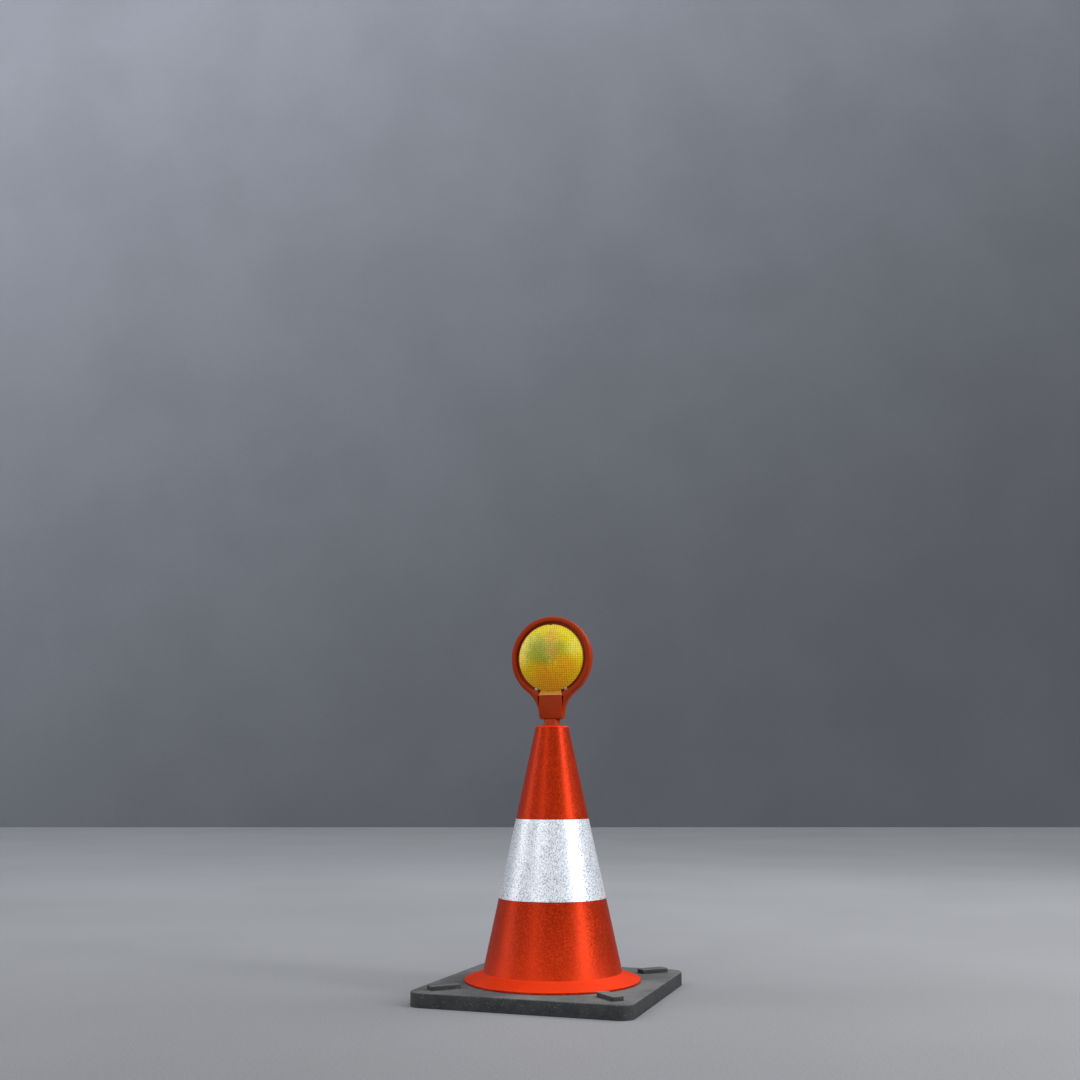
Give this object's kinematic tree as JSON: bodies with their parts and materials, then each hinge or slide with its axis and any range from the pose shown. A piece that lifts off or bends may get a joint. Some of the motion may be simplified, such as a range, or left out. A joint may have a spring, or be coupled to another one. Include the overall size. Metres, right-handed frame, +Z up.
{
  "type": "cone-mounted warning light",
  "caption": "Two-way domed battery warning lamp on a swivelling stem in the top of a traffic cone with a reflective sleeve and a heavy square base.",
  "frame": {"origin": "centre of the rubber base's underside, on the ground", "axes": "+Z up through the cone, the swivel and the stem; -Y towards the front lens; +X to the right of someone facing the front lens"},
  "size_m": [0.414, 0.414, 0.716],
  "materials": {
    "cone_plastic": "semi-gloss moulded orange plastic with a fine grain",
    "sleeve_film": "white micro-prismatic reflective film",
    "base_rubber": "matt dark recycled rubber",
    "lock_ring_plastic": "matt black plastic",
    "collar_plastic": "self-lubricating orange plastic",
    "spring_steel": "plated spring steel",
    "housing_plastic": "semi-gloss moulded orange-red plastic",
    "lens_amber": "clear amber-yellow prismatic plastic",
    "gasket_rubber": "black seal rubber",
    "board_green": "green circuit board",
    "reflector_metal": "metallised plastic",
    "led_clear": "clear amber diode",
    "chip_black": "black moulded plastic",
    "capacitor_sleeve": "blue shrink sleeve",
    "cell_wrap": "plain grey wrapped cell",
    "contact_brass": "plated contact strip",
    "lead_red": "insulated wire",
    "lead_black": "insulated wire",
    "screw_steel": "stainless steel"
  },
  "bodies": {
    "stand": {"base_plate": "base_rubber", "cone_body": "cone_plastic", "lock_ring": "lock_ring_plastic", "reflective_sleeve": "sleeve_film"},
    "swivel": {"swivel_collar": "collar_plastic", "collar_washer": "collar_plastic", "collar_circlip": "spring_steel"},
    "lamp": {"front_shell": "housing_plastic", "rear_shell": "housing_plastic", "lamp_stem": "housing_plastic", "front_lens": "lens_amber", "rear_lens": "lens_amber", "front_lens_gasket": "gasket_rubber", "rear_lens_gasket": "gasket_rubber", "circuit_board": "board_green", "front_reflector": "reflector_metal", "rear_reflector": "reflector_metal", "front_led": "led_clear", "rear_led": "led_clear", "photocell": "led_clear", "flasher_chip": "chip_black", "timing_capacitor": "capacitor_sleeve", "battery_cradle": "chip_black", "battery_left": "cell_wrap", "battery_right": "cell_wrap", "battery_spring_left": "spring_steel", "battery_spring_right": "spring_steel", "contact_bridge": "contact_brass", "contact_positive": "contact_brass", "contact_negative": "contact_brass", "lead_positive": "lead_red", "lead_negative": "lead_black", "front_lens_screw_left": "screw_steel", "front_lens_screw_right": "screw_steel", "rear_lens_screw_left": "screw_steel", "rear_lens_screw_right": "screw_steel", "shell_screw_1": "screw_steel", "shell_screw_2": "screw_steel", "shell_screw_3": "screw_steel", "shell_screw_4": "screw_steel", "switch_body": "chip_black", "button_bezel": "chip_black", "door_seal": "gasket_rubber", "door_hinge_pin": "screw_steel"},
    "door": {"battery_door": "housing_plastic"},
    "door_lock": {"lock_knob": "screw_steel", "lock_cam": "spring_steel"},
    "button": {"power_button": "gasket_rubber"}
  },
  "joints": [
    {"name": "lamp_swivel", "type": "hinge", "parent": "stand", "child": "swivel", "pos_m": [0, 0, 0.5], "axis": [0, 0, 1], "continuous": true},
    {"name": "lamp_lift", "type": "slide", "parent": "swivel", "child": "lamp", "axis": [0, 0, 1], "range_m": [0, 0.085]},
    {"name": "door_swing", "type": "hinge", "parent": "lamp", "child": "door", "pos_m": [0, 0.0161, 0.5148], "axis": [-1, 0, 0], "range_deg": [0, 100]},
    {"name": "lock_turn", "type": "hinge", "parent": "door", "child": "door_lock", "pos_m": [0, 0.0161, 0.5446], "axis": [0, 1, 0], "range_deg": [0, 90]},
    {"name": "button_press", "type": "slide", "parent": "lamp", "child": "button", "axis": [0, -1, 0], "range_m": [0, 0.0018], "stiffness_N_per_m": 400}
  ]
}
